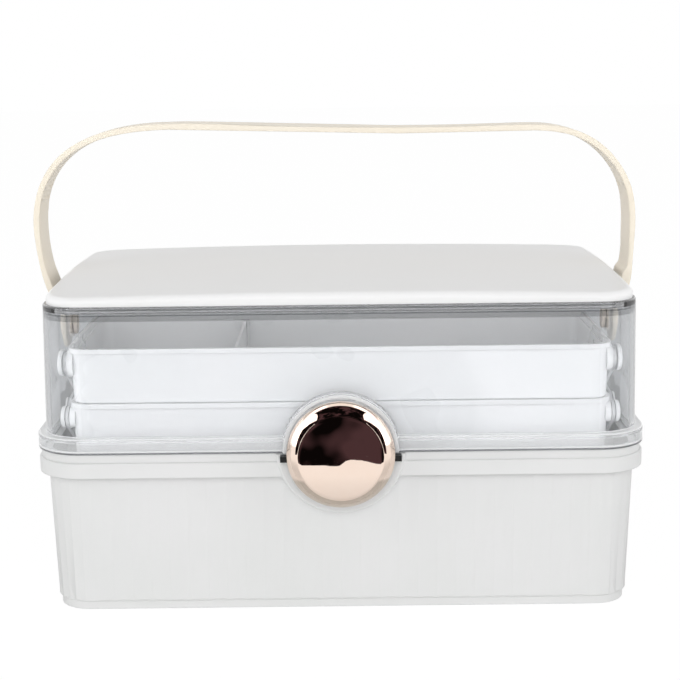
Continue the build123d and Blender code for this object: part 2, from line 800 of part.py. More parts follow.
side_names = ((-1, "left"), (1, "right"))
arm_set = []
for side, side_name in side_names:
    for row, row_name in ((0, "front"), (1, "rear")):
        tray_end_fit = running_fit if row == 0 else open_pivot_fit
        for level, foot, tip in (
            ("lower", (base_pins_y[row], base_pin_z), (lower_pins_y[row], lower_pin_z)),
            ("upper", (upper_roots_y[row], lower_pin_z), (upper_pins_y[row], upper_pin_z)),
        ):
            with BuildPart() as arm:
                add(makePlate(foot, tip, arm_width, arm_thickness, arm_inner, side,
                              running_fit, tray_end_fit))
            arm.part.label = f"{side_name}_{row_name}_{level}_arm"
            arm_set.append(arm.part)
    with BuildPart() as lid_link:
        add(makePlate((lower_pins_y[1], lower_pin_z), (lid_pin_y, lid_pin_z), link_width,
                      link_thickness, link_inner, side, open_pivot_fit, running_fit))
    lid_link.part.label = f"{side_name}_lid_link"
    arm_set.append(lid_link.part)


# pivot rivets
def trayRivet(side, place, height, head_radius, head_thickness):
    """Rivet through an arm into the tray's collar, its head outside."""
    with BuildPart() as rivet:
        add(crossBar(pin_radius, side * (collar_face - pin_grip), side * cap_face,
                     place, height))
        add(crossBar(head_radius, side * cap_face, side * (cap_face + head_thickness),
                     place, height))
    return rivet.part


with BuildPart() as upper_tray_front_caps:
    for side in (-1, 1):
        add(trayRivet(side, upper_pins_y[0], upper_pin_z, big_cap_radius, cap_thickness))
    fillet(
        upper_tray_front_caps.edges().filter_by(GeomType.CIRCLE).filter_by(
            lambda edge: abs(edge.center().X) > cap_face + cap_thickness - pick_room
        ),
        radius=cap_thickness / 3,
    )
upper_tray_front_caps.part.label = "upper_tray_front_caps"

with BuildPart() as upper_tray_rear_pins:
    for side in (-1, 1):
        add(trayRivet(side, upper_pins_y[1], upper_pin_z, small_cap_radius,
                      thin_cap_thickness))
upper_tray_rear_pins.part.label = "upper_tray_rear_pins"

with BuildPart() as lower_tray_front_caps:
    for side in (-1, 1):
        add(trayRivet(side, lower_pins_y[0], lower_pin_z, mid_cap_radius, cap_thickness))
    fillet(
        lower_tray_front_caps.edges().filter_by(GeomType.CIRCLE).filter_by(
            lambda edge: abs(edge.center().X) > cap_face + cap_thickness - pick_room
        ),
        radius=cap_thickness / 3,
    )
lower_tray_front_caps.part.label = "lower_tray_front_caps"

with BuildPart() as upper_arm_foot_pins:
    for side in (-1, 1):
        for place in upper_roots_y:
            add(trayRivet(side, place, lower_pin_z, small_cap_radius, thin_cap_thickness))
upper_arm_foot_pins.part.label = "upper_arm_foot_pins"

with BuildPart() as link_pins:
    for side in (-1, 1):
        add(crossBar(pin_radius, side * (collar_face - pin_grip),
                     side * (link_outer + side_gap), lower_pins_y[1], lower_pin_z))
        add(crossBar(washer_radius, side * cap_face, side * (link_inner - side_gap),
                     lower_pins_y[1], lower_pin_z))
        add(crossBar(small_cap_radius, side * (link_outer + side_gap),
                     side * (link_outer + side_gap + thin_cap_thickness),
                     lower_pins_y[1], lower_pin_z))
link_pins.part.label = "link_pins"

with BuildPart() as base_pivot_pins:
    for side in (-1, 1):
        for place in base_pins_y:
            add(crossBar(pin_radius, side * (arm_inner - side_gap),
                         side * (cap_face + pin_grip), place, base_pin_z))
            add(crossBar(small_cap_radius, side * (arm_inner - side_gap - thin_cap_thickness),
                         side * (arm_inner - side_gap), place, base_pin_z))
base_pivot_pins.part.label = "base_pivot_pins"

with BuildPart() as lid_link_pins:
    for side in (-1, 1):
        add(crossBar(pin_radius, side * (link_inner - side_gap),
                     side * (link_outer + side_gap + pin_grip), lid_pin_y, lid_pin_z))
        add(crossBar(small_cap_radius, side * (link_inner - side_gap - thin_cap_thickness),
                     side * (link_inner - side_gap), lid_pin_y, lid_pin_z))
lid_link_pins.part.label = "lid_link_pins"

# handle and studs
strap_inner = strap_end_outer - strap_thickness
strap_foot = strap_pivot_height - strap_width / 2
strap_bend_z = strap_pivot_height + strap_straight_rise
strap_outline = [
    (-half_length - outside, strap_pivot_height + rise) for outside, rise in strap_left_half
] + [
    (half_length + outside, strap_pivot_height + rise)
    for outside, rise in reversed(strap_right_half)
]
with BuildPart() as handle_strap:
    with BuildSketch(Plane.XZ):
        with BuildLine():
            outer_curve = Spline(
                (-strap_end_outer, strap_bend_z),
                *strap_outline,
                (strap_end_outer, strap_bend_z),
                tangents=((0, 1), (0, -1)),
            )
            # inner face: the same curve, one thickness further in
            inner_points = []
            for step in range(1, strap_curve_steps):
                place = step / strap_curve_steps
                along = outer_curve.tangent_at(place)
                inward = Vector(along.Y, -along.X) * strap_thickness
                inner_points.append(outer_curve.position_at(place) + inward)
            Spline(
                (-strap_inner, strap_bend_z),
                *inner_points,
                (strap_inner, strap_bend_z),
                tangents=((0, 1), (0, -1)),
            )
            for side in (-1, 1):
                Polyline(
                    (side * strap_end_outer, strap_bend_z),
                    (side * strap_end_outer, strap_foot),
                    (side * strap_inner, strap_foot),
                    (side * strap_inner, strap_bend_z),
                )
        make_face()
    extrude(amount=strap_width / 2, both=True)
    # round ends below the pivots
    with BuildSketch(Plane.YZ):
        with Locations((0, strap_pivot_height - strap_width / 2)):
            Rectangle(2 * strap_width, strap_width)
        with Locations((0, strap_pivot_height)):
            Circle(strap_width / 2, mode=Mode.SUBTRACT)
    extrude(amount=flange_length, both=True, mode=Mode.SUBTRACT)
    add(crossBar(stud_radius + running_fit, -half_length - 4 * strap_thickness,
                 half_length + 4 * strap_thickness, 0, strap_pivot_height),
        mode=Mode.SUBTRACT)
handle_strap.part.label = "handle_strap"

stud_wall = wallAt(strap_pivot_height, flange_top, cover_top, wall_foot_half_length,
                   wall_top_half_length)
nut_face = stud_wall - cover_wall - spacer_fit
with BuildPart() as handle_studs:
    for side in (-1, 1):
        add(crossBar(stud_radius, side * (nut_face - nut_thickness),
                     side * (strap_end_outer + stud_gap), 0, strap_pivot_height))
        add(crossBar(stud_head_radius, side * (strap_end_outer + stud_gap),
                     side * (strap_end_outer + stud_gap + stud_head_thickness),
                     0, strap_pivot_height))
handle_studs.part.label = "handle_studs"

with BuildPart() as handle_spacers:
    for side in (-1, 1):
        add(crossBar(spacer_radius, side * (stud_wall + spacer_fit),
                     side * (strap_inner - stud_gap), 0, strap_pivot_height))
        add(crossBar(stud_radius + press_fit, side * (stud_wall - cover_wall),
                     side * strap_inner, 0, strap_pivot_height), mode=Mode.SUBTRACT)
handle_spacers.part.label = "handle_spacers"

with BuildPart() as handle_nuts:
    for side in (-1, 1):
        add(crossBar(nut_radius, side * (nut_face - nut_thickness), side * nut_face,
                     0, strap_pivot_height))
        add(crossBar(stud_radius + press_fit, side * (nut_face - 2 * nut_thickness),
                     side * stud_wall, 0, strap_pivot_height), mode=Mode.SUBTRACT)
handle_nuts.part.label = "handle_nuts"

# latch
with BuildPart() as latch_axle:
    add(crossBar(axle_radius, -lug_outer, lug_outer, axle_y, axle_z))
latch_axle.part.label = "latch_axle"

bracket_low = seam_height - bracket_bottom_drop
with BuildPart() as latch_bracket:
    with BuildSketch(Plane.XZ.offset(lobe_front)):
        with Locations((0, bracket_low + bracket_plate_height / 2)):
            Rectangle(2 * (lug_inner + lug_post_width), bracket_plate_height)
    extrude(amount=bracket_plate_thickness)
    for side in (-1, 1):
        with BuildSketch(Plane.XZ.offset(lobe_front)):
            lug_top = axle_z + lug_height / 2
            with Locations((side * (lug_inner + lug_post_width / 2), (bracket_low + lug_top) / 2)):
                Rectangle(lug_post_width, lug_top - bracket_low)
        extrude(amount=lug_post_depth)
        with BuildSketch(Plane.XZ.offset(lobe_front)):
            with Locations((side * (lug_inner + lug_outer) / 2, axle_z)):
                Rectangle(lug_outer - lug_inner, lug_height)
        extrude(amount=lug_depth)
    add(crossBar(axle_radius + press_fit, -lug_outer, lug_outer, axle_y, axle_z),
        mode=Mode.SUBTRACT)
latch_bracket.part.label = "latch_bracket"

with BuildPart() as latch_rocker:
    with BuildSketch(Plane.XZ.offset(rocker_back)):
        plate_top = button_height + rocker_top
        plate_low = axle_z - rocker_tail
        with Locations((0, (plate_top + plate_low) / 2)):
            Rectangle(2 * rocker_half_width, plate_top - plate_low)
    extrude(amount=rocker_plate_thickness)
    add(crossBar(hub_radius, -hub_length / 2, hub_length / 2, axle_y, axle_z))
    nose_back = lobe_front + bead_reach + nose_clearance
    with BuildSketch(Plane.XZ.offset(nose_back)):
        with Locations((0, button_height + nose_base + nose_height / 2)):
            Rectangle(2 * nose_half_width, nose_height)
    extrude(amount=rocker_front - nose_back)
    add(crossBar(axle_radius + running_fit, -hub_length, hub_length, axle_y, axle_z),
        mode=Mode.SUBTRACT)
    for side in (-1, 1):
        with BuildSketch(Plane.XZ.offset(rocker_back)):
            with Locations((side * button_screw_spacing / 2, button_height + button_screw_rise)):
                Circle(button_screw_radius + press_fit)
        extrude(amount=rocker_plate_thickness, mode=Mode.SUBTRACT)
latch_rocker.part.label = "latch_rocker"

button_rim = button_back + button_edge
button_front = button_rim + button_bevel_rise
face_radius = button_radius - button_bevel_width
with BuildPart() as latch_button:
    with BuildSketch(Plane.XY.offset(button_height)):
        with BuildLine():
            Polyline(
                (0, -button_front - button_crown),
                (0, -button_back),
                (button_radius, -button_back),
                (button_radius, -button_rim),
            )
            ThreePointArc(
                (button_radius, -button_rim),
                (
                    button_radius - button_bevel_width / 2 + button_bevel_bulge,
                    -button_rim - button_bevel_rise / 2 - button_bevel_bulge,
                ),
                (face_radius, -button_front),
            )
            dome_radius = (face_radius ** 2 + button_crown ** 2) / (2 * button_crown)
            half_way = face_radius / 2
            ThreePointArc(
                (face_radius, -button_front),
                (half_way, -button_front - button_crown + dome_radius
                 - sqrt(dome_radius ** 2 - half_way ** 2)),
                (0, -button_front - button_crown),
            )
        make_face()
    revolve(axis=Axis((0, 0, button_height), (0, 1, 0)))
    for edge_radius, rounding in (
        (button_radius, button_edge_radius), (face_radius, button_face_radius),
    ):
        fillet(
            latch_button.edges().filter_by(GeomType.CIRCLE).filter_by(
                lambda edge: abs(edge.radius - edge_radius) < pick_room
            ).sort_by(Axis.Y)[0],
            radius=rounding,
        )
    for side in (-1, 1):
        with BuildSketch(Plane.XZ.offset(button_back)):
            with Locations((side * button_screw_spacing / 2, button_height + button_screw_rise)):
                Circle(button_screw_radius + press_fit)
        extrude(amount=button_screw_depth, mode=Mode.SUBTRACT)
latch_button.part.label = "latch_button"

with BuildPart() as button_screws:
    for side in (-1, 1):
        screw_place = (side * button_screw_spacing / 2, button_height + button_screw_rise)
        with BuildSketch(Plane.XZ.offset(rocker_back - button_screw_head)):
            with Locations(screw_place):
                Circle(button_screw_head_radius)
        extrude(amount=button_screw_head)
        with BuildSketch(Plane.XZ.offset(rocker_back)):
            with Locations(screw_place):
                Circle(button_screw_radius)
        extrude(amount=rocker_plate_thickness + button_screw_depth - press_fit)
button_screws.part.label = "button_screws"

leaf_root = -lobe_front
leaf_foot_z = axle_z - leaf_foot
leaf_crest_z = axle_z - leaf_crest
leaf_tip_z = bracket_low - leaf_gap
# crest stays clear of the plate when the button is pressed right in
plate_travel = leaf_crest * sin(radians(press_angle))
leaf_crest_y = -rocker_back + plate_travel + leaf_gap
leaf_tip_y = leaf_crest_y + leaf_tip_back
with BuildPart() as latch_spring:
    with BuildSketch(Plane.YZ.offset(-leaf_half_width)):
        with BuildLine():
            Polyline(
                (leaf_root, leaf_foot_z),
                (leaf_root, leaf_foot_z + leaf_foot_height),
                (leaf_crest_y + leaf_thickness, leaf_crest_z),
                (leaf_tip_y + leaf_thickness, leaf_tip_z),
                (leaf_tip_y, leaf_tip_z),
                (leaf_crest_y, leaf_crest_z),
                (leaf_root - leaf_thickness, leaf_foot_z + leaf_foot_height),
                (leaf_root - leaf_thickness, leaf_foot_z),
                (leaf_root, leaf_foot_z),
            )
        make_face()
    extrude(amount=2 * leaf_half_width)
latch_spring.part.label = "latch_spring"

# output
for piece in [
    base_bin.part, hinge_pins.part, base_pivot_pins.part, latch_bracket.part,
    latch_axle.part, latch_spring.part, clear_cover.part, lid_cap.part,
    lid_link_pins.part, handle_studs.part, handle_spacers.part, handle_nuts.part,
    handle_strap.part, lower_tray.part, lower_tray_front_caps.part,
    upper_arm_foot_pins.part, link_pins.part, upper_tray.part, tray_divider.part,
    upper_tray_front_caps.part, upper_tray_rear_pins.part, latch_rocker.part,
    latch_button.part, button_screws.part, *arm_set,
]:
    export_step(piece, f"parts/{piece.label}.step")

print(f"arm angle {arm_angle:.3f}, run {arm_run:.3f}")
print(f"hinge {hinge_y:.3f} {hinge_z:.3f}, lid pin {lid_pin_y:.3f} {lid_pin_z:.3f}")
print(f"base pins {base_pins_y} at {base_pin_z:.3f}")
print(f"lower pins {lower_pins_y} and {upper_roots_y} at {lower_pin_z:.3f}")
print(f"upper pins {upper_pins_y} at {upper_pin_z:.3f}")
print(f"latch axle {axle_y:.3f} {axle_z:.3f}")
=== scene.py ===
import json
from math import cos, pi, radians, sin

import bpy
from mathutils import Matrix, Vector

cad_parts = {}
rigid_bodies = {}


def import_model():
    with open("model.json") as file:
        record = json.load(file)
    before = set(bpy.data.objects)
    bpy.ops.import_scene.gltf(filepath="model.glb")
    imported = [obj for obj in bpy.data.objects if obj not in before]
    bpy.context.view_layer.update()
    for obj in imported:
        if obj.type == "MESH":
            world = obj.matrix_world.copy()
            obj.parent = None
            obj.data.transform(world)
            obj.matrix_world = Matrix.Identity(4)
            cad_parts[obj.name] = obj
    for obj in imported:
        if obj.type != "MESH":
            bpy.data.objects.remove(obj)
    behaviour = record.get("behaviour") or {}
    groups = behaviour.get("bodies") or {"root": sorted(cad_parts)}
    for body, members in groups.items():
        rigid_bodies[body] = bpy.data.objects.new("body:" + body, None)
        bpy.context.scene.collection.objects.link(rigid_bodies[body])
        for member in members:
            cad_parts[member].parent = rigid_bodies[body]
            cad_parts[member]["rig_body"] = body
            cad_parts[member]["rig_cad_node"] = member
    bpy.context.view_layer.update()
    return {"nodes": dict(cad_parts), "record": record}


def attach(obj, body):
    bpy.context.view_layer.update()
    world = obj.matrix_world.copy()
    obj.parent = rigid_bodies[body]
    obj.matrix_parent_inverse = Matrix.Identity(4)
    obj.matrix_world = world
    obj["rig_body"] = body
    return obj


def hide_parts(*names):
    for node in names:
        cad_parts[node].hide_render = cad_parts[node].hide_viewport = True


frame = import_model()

nodes = frame["nodes"]
mm = 0.001
print("frame loaded with", len(nodes), "nodes")


def deselectAll():
    if bpy.context.object and bpy.context.object.mode != "OBJECT":
        bpy.ops.object.mode_set(mode="OBJECT")
    bpy.ops.object.select_all(action="DESELECT")


def pick(piece):
    deselectAll()
    piece.select_set(True)
    bpy.context.view_layer.objects.active = piece


deselectAll()


# colours and the small helper that adds a node

def hexLinear(code):
    channels = [int(code[i:i + 2], 16) / 255 for i in (1, 3, 5)]
    linear = [c / 12.92 if c <= 0.04045 else ((c + 0.055) / 1.055) ** 2.4 for c in channels]
    return linear + [1.0]


def addNode(tree, kind, settings=None, links=None):
    node = tree.nodes.new(kind)
    for name, value in (settings or {}).items():
        if isinstance(name, str) and hasattr(node, name):
            setattr(node, name, value)
        else:
            node.inputs[name].default_value = value
    for name, source in (links or {}).items():
        tree.links.new(source, node.inputs[name])
    return node


def startMaterial(name):
    material = bpy.data.materials.new(name)
    material.use_nodes = True
    tree = material.node_tree
    tree.nodes.clear()
    place = addNode(tree, "ShaderNodeTexCoord")
    return material, tree, place.outputs["Object"]


def endMaterial(tree, shader):
    addNode(tree, "ShaderNodeOutputMaterial", {}, {"Surface": shader})


# what all the moulded plastics share: how far the drift spreads and how fine it gets
mouldLook = {
    "driftLow": 0.3, "driftHigh": 0.7, "driftDetail": 2.0, "grainDetail": 3.0, "edgeSamples": 4,
}


def mouldedPlastic(name, look):
    material, tree, place = startMaterial(name)
    # slow drift of shade and gloss over the moulding
    drift = addNode(tree, "ShaderNodeTexNoise", {
        "Scale": 1 / look["driftSize"], "Detail": mouldLook["driftDetail"],
    }, {"Vector": place})
    shade = addNode(tree, "ShaderNodeValToRGB", {}, {"Fac": drift.outputs["Fac"]})
    shade.color_ramp.elements[0].position = mouldLook["driftLow"]
    shade.color_ramp.elements[0].color = hexLinear(look["shadeLow"])
    shade.color_ramp.elements[1].position = mouldLook["driftHigh"]
    shade.color_ramp.elements[1].color = hexLinear(look["shadeHigh"])
    gloss = addNode(tree, "ShaderNodeMapRange", {
        "From Min": mouldLook["driftLow"], "From Max": mouldLook["driftHigh"],
        "To Min": look["roughLow"], "To Max": look["roughHigh"],
    }, {"Value": drift.outputs["Fac"]})
    # spark-eroded grain of the mould
    grain = addNode(tree, "ShaderNodeTexNoise", {
        "Scale": 1 / look["grainSize"], "Detail": mouldLook["grainDetail"],
    }, {"Vector": place})
    softEdge = addNode(tree, "ShaderNodeBevel", {
        "samples": mouldLook["edgeSamples"], "Radius": look["edgeRound"],
    })
    bump = addNode(tree, "ShaderNodeBump", {
        "Strength": look["grainStrength"], "Distance": look["grainDepth"],
    }, {"Height": grain.outputs["Fac"], "Normal": softEdge.outputs["Normal"]})
    shader = addNode(tree, "ShaderNodeBsdfPrincipled", {
        "IOR": look["ior"], "Transmission Weight": look.get("seeThrough", 0.0),
    }, {
        "Base Color": shade.outputs["Color"],
        "Roughness": gloss.outputs["Result"],
        "Normal": bump.outputs["Normal"],
    })
    if "lightThrough" in look:  # thin white walls let some light pass
        path = addNode(tree, "ShaderNodeLightPath")
        light = addNode(tree, "ShaderNodeMath", {"operation": "MAXIMUM"}, {
            0: path.outputs["Is Shadow Ray"], 1: path.outputs["Is Diffuse Ray"],
        })
        passed = addNode(tree, "ShaderNodeMath", {
            "operation": "MULTIPLY", 1: look["lightThrough"],
        }, {0: light.outputs["Value"]})
        glowThrough = addNode(tree, "ShaderNodeBsdfTransparent")
        wall = addNode(tree, "ShaderNodeMixShader", {}, {
            0: passed.outputs["Value"], 1: shader.outputs["BSDF"], 2: glowThrough.outputs["BSDF"],
        })
        endMaterial(tree, wall.outputs["Shader"])
    else:
        endMaterial(tree, shader.outputs["BSDF"])
    return material


# satin ABS moulding: clean white, a soft broad gloss, a grain just felt
binWhite = mouldedPlastic("moulded satin white ABS", {
    "shadeLow": "#E4E5E4", "shadeHigh": "#E8E8E8", "driftSize": 60 * mm,
    "roughLow": 0.42, "roughHigh": 0.5, "grainSize": 1.1 * mm, "grainStrength": 0.12,
    "grainDepth": 0.05 * mm, "edgeRound": 0.5 * mm, "ior": 1.53,
})
# fine-grained ABS lid: a veil of gloss that brightens towards the front edge
capWhite = mouldedPlastic("fine grained white ABS", {
    "shadeLow": "#F6F6F6", "shadeHigh": "#F9F9F9", "driftSize": 80 * mm,
    "roughLow": 0.36, "roughHigh": 0.42, "grainSize": 0.9 * mm, "grainStrength": 0.1,
    "grainDepth": 0.04 * mm, "edgeRound": 0.5 * mm, "ior": 1.53, "lightThrough": 0.48,
})
# polished polystyrene trays: cooler white, sharper gloss
trayWhite = mouldedPlastic("moulded cool white polystyrene", {
    "shadeLow": "#F7F8F9", "shadeHigh": "#FAFAFB", "driftSize": 50 * mm,
    "roughLow": 0.26, "roughHigh": 0.34, "grainSize": 1.4 * mm, "grainStrength": 0.06,
    "grainDepth": 0.03 * mm, "edgeRound": 0.4 * mm, "ior": 1.59, "lightThrough": 0.34,
})
# frosted polystyrene arms: milky grey that lets light through
armFrost = mouldedPlastic("frosted polystyrene", {
    "shadeLow": "#F3F4F5", "shadeHigh": "#F8F9FA", "driftSize": 20 * mm,
    "roughLow": 0.4, "roughHigh": 0.5, "grainSize": 0.8 * mm, "grainStrength": 0.15,
    "grainDepth": 0.05 * mm, "edgeRound": 0.3 * mm, "ior": 1.59,
    "seeThrough": 0.3, "lightThrough": 0.45,
})
# cream acetal studs: the strap's colour with a waxy gloss
studCream = mouldedPlastic("turned cream acetal", {
    "shadeLow": "#F1E6DA", "shadeHigh": "#F6ECE2", "driftSize": 8 * mm,
    "roughLow": 0.3, "roughHigh": 0.38, "grainSize": 0.6 * mm, "grainStrength": 0.08,
    "grainDepth": 0.03 * mm, "edgeRound": 0.4 * mm, "ior": 1.48,
})
# black ABS latch parts: deep black with a dull sheen
latchBlack = mouldedPlastic("moulded black ABS", {
    "shadeLow": "#0C0C0D", "shadeHigh": "#161617", "driftSize": 10 * mm,
    "roughLow": 0.38, "roughHigh": 0.5, "grainSize": 0.7 * mm, "grainStrength": 0.15,
    "grainDepth": 0.04 * mm, "edgeRound": 0.2 * mm, "ior": 1.53,
})
print("moulded plastics ready")


# clear polystyrene cover: colourless, with painted grey shade lines and painted white highlight
# lines at its edges
coverLook = {
    "tint": "#FBFCFD", "shadowTint": "#FFFFFF", "ior": 1.5, "roughness": 0.0,
    "rippleSize": 34 * mm, "rippleDepth": 0.03 * mm, "rippleStrength": 0.02, "rippleDetail": 1.0,
    "bodyTint": "#E8E8E9", "bodyDensity": 65.0,
    "edgeFrom": 81.4 * mm, "edgeTo": 82.3 * mm, "paintedShadeGrey": "#6E7073", "edgeRough": 0.35,
    "beadFrom": -96.9 * mm, "beadTo": -97.3 * mm, "paintedHighlightShare": 0.75,
    # low edge, high edge in mm and share: painted shade lines under the cap, then painted
    # highlights on the ledge and the rim
    "paintedShadeBands": ((145.8, 148.3, 0.42), (148.3, 152.2, 0.2), (151.3, 151.8, 0.5),
                  (149.9, 150.4, 0.7), (148.3, 148.9, 0.8)),
    "paintedHighlightBands": ((88.6, 89.2, 1.0), (83.0, 88.6, 0.3), (82.4, 83.0, 1.0)),
}


def addBands(tree, level, bands, total):
    # flat bands between two heights, each with its own share; the largest one counts
    for low, high, share in bands:
        within = addNode(tree, "ShaderNodeMath", {
            "operation": "COMPARE", 1: (low + high) / 2 * mm, 2: (high - low) / 2 * mm,
        }, {0: level})
        part = addNode(tree, "ShaderNodeMath", {"operation": "MULTIPLY", 1: share},
                       {0: within.outputs["Value"]})
        total = addNode(tree, "ShaderNodeMath", {"operation": "MAXIMUM"}, {
            0: total, 1: part.outputs["Value"],
        }).outputs["Value"]
    return total


coverClear, tree, place = startMaterial("polished clear polystyrene")
ripple = addNode(tree, "ShaderNodeTexNoise", {
    "Scale": 1 / coverLook["rippleSize"], "Detail": coverLook["rippleDetail"],
}, {"Vector": place})
rippleBump = addNode(tree, "ShaderNodeBump", {
    "Strength": coverLook["rippleStrength"], "Distance": coverLook["rippleDepth"],
}, {"Height": ripple.outputs["Fac"]})
# painted shade: the lowest millimetre, where the mould parts, is painted grey as the seam's
# shadow line, and made rougher
height = addNode(tree, "ShaderNodeSeparateXYZ", {}, {"Vector": place})
seamShadeShare = addNode(tree, "ShaderNodeMapRange", {
    "From Min": coverLook["edgeFrom"], "From Max": coverLook["edgeTo"],
    "To Min": 1.0, "To Max": 0.0,
}, {"Value": height.outputs["Z"]})
# painted shade: under the cap the thick lip is painted grey, with darker painted lines at its
# edges
paintedShadeShare = addBands(tree, height.outputs["Z"], coverLook["paintedShadeBands"],
                     seamShadeShare.outputs["Result"])
tintAndPaintedShade = addNode(tree, "ShaderNodeMix", {
    "data_type": "RGBA", 6: hexLinear(coverLook["tint"]), 7: hexLinear(coverLook["paintedShadeGrey"]),
}, {0: paintedShadeShare})
coverRough = addNode(tree, "ShaderNodeMapRange", {
    "To Min": coverLook["roughness"], "To Max": coverLook["edgeRough"],
}, {"Value": seamShadeShare.outputs["Result"]})
# painted highlight: the lobe's raised edge, the rim and the ledge over it are painted partly
# opaque white
beadHighlightShare = addNode(tree, "ShaderNodeMapRange", {
    "From Min": coverLook["beadFrom"], "From Max": coverLook["beadTo"],
}, {"Value": height.outputs["Y"]})
paintedHighlight = addBands(tree, height.outputs["Z"], coverLook["paintedHighlightBands"],
                     beadHighlightShare.outputs["Result"])
clearShare = addNode(tree, "ShaderNodeMapRange", {
    "To Min": 1.0, "To Max": 1.0 - coverLook["paintedHighlightShare"],
}, {"Value": paintedHighlight})
coverShader = addNode(tree, "ShaderNodeBsdfPrincipled", {"IOR": coverLook["ior"]}, {
    "Base Color": tintAndPaintedShade.outputs[2], "Roughness": coverRough.outputs["Result"],
    "Normal": rippleBump.outputs["Normal"], "Transmission Weight": clearShare.outputs["Result"],
})
# light reaches the trays straight through the cover
lightPath = addNode(tree, "ShaderNodeLightPath")
passThrough = addNode(tree, "ShaderNodeBsdfTransparent", {
    "Color": hexLinear(coverLook["shadowTint"]),
})
coverMix = addNode(tree, "ShaderNodeMixShader", {}, {
    0: lightPath.outputs["Is Shadow Ray"], 1: coverShader.outputs["BSDF"],
    2: passThrough.outputs["BSDF"],
})
# long ways through the plastic, at corners and edges, turn grey
coverBody = addNode(tree, "ShaderNodeVolumeAbsorption", {
    "Color": hexLinear(coverLook["bodyTint"]), "Density": coverLook["bodyDensity"],
})
addNode(tree, "ShaderNodeOutputMaterial", {}, {
    "Surface": coverMix.outputs["Shader"], "Volume": coverBody.outputs["Volume"],
})

# plated ABS button: rose gold mirror with the faint waviness of plated plastic
buttonLook = {
    "gold": "#F9E6D8", "goldDeep": "#F6E0D0", "roughness": 0.02,
    "waveSize": 9 * mm, "waveDepth": 0.05 * mm, "waveStrength": 0.1, "waveDetail": 2.0,
    "middleHeight": 82.6 * mm, "faceRadius": 20.9 * mm,
    "bevelDrop": 10.5 * mm, "bevelSoft": 1.6 * mm, "paintedReflectionBeige": "#CFC0B2",
}
roseGold, tree, place = startMaterial("rose gold plated ABS")
wave = addNode(tree, "ShaderNodeTexNoise", {
    "Scale": 1 / buttonLook["waveSize"], "Detail": buttonLook["waveDetail"],
}, {"Vector": place})
goldShade = addNode(tree, "ShaderNodeValToRGB", {}, {"Fac": wave.outputs["Fac"]})
goldShade.color_ramp.elements[0].color = hexLinear(buttonLook["goldDeep"])
goldShade.color_ramp.elements[1].color = hexLinear(buttonLook["gold"])
goldBump = addNode(tree, "ShaderNodeBump", {
    "Strength": buttonLook["waveStrength"], "Distance": buttonLook["waveDepth"],
}, {"Height": wave.outputs["Fac"]})
# painted reflection: the lower bevel's plating is painted grey-beige in place of the shaded bin
# it mirrors
fromAxis = addNode(tree, "ShaderNodeVectorMath", {
    "operation": "SUBTRACT", 1: (0, 0, buttonLook["middleHeight"]),
}, {0: place})
flat = addNode(tree, "ShaderNodeVectorMath", {"operation": "MULTIPLY", 1: (1, 0, 1)},
               {0: fromAxis.outputs["Vector"]})
spread = addNode(tree, "ShaderNodeVectorMath", {"operation": "LENGTH"},
                 {0: flat.outputs["Vector"]})
onBevel = addNode(tree, "ShaderNodeMath", {
    "operation": "GREATER_THAN", 1: buttonLook["faceRadius"],
}, {0: spread.outputs["Value"]})
upright = addNode(tree, "ShaderNodeSeparateXYZ", {}, {"Vector": fromAxis.outputs["Vector"]})
below = addNode(tree, "ShaderNodeMapRange", {
    "From Min": -buttonLook["bevelDrop"],
    "From Max": -buttonLook["bevelDrop"] - buttonLook["bevelSoft"],
}, {"Value": upright.outputs["Z"]})
paintedReflectionShare = addNode(tree, "ShaderNodeMath", {"operation": "MULTIPLY"}, {
    0: onBevel.outputs["Value"], 1: below.outputs["Result"],
})
# the painted reflection mixed over the gold
goldAndPaintedReflection = addNode(tree, "ShaderNodeMix", {
    "data_type": "RGBA", 7: hexLinear(buttonLook["paintedReflectionBeige"]),
}, {0: paintedReflectionShare.outputs["Value"], 6: goldShade.outputs["Color"]})
goldShader = addNode(tree, "ShaderNodeBsdfPrincipled", {
    "Metallic": 1.0, "Roughness": buttonLook["roughness"],
}, {"Base Color": goldAndPaintedReflection.outputs[2], "Normal": goldBump.outputs["Normal"]})
endMaterial(tree, goldShader.outputs["BSDF"])

# drawn steel pins: grey, streaked along their length
steelLook = {
    "light": "#B9BABD", "dark": "#9C9DA0", "roughness": 0.28,
    "streak": 0.4 * mm, "streakDetail": 2.0, "stretch": (0.05, 1.0, 1.0),
}
drawnSteel, tree, place = startMaterial("drawn steel")
along = addNode(tree, "ShaderNodeMapping", {"Scale": steelLook["stretch"]}, {"Vector": place})
streaks = addNode(tree, "ShaderNodeTexNoise", {
    "Scale": 1 / steelLook["streak"], "Detail": steelLook["streakDetail"],
}, {"Vector": along.outputs["Vector"]})
steelShade = addNode(tree, "ShaderNodeValToRGB", {}, {"Fac": streaks.outputs["Fac"]})
steelShade.color_ramp.elements[0].color = hexLinear(steelLook["dark"])
steelShade.color_ramp.elements[1].color = hexLinear(steelLook["light"])
steelShader = addNode(tree, "ShaderNodeBsdfPrincipled", {
    "Metallic": 1.0, "Roughness": steelLook["roughness"],
}, {"Base Color": steelShade.outputs["Color"]})
endMaterial(tree, steelShader.outputs["BSDF"])

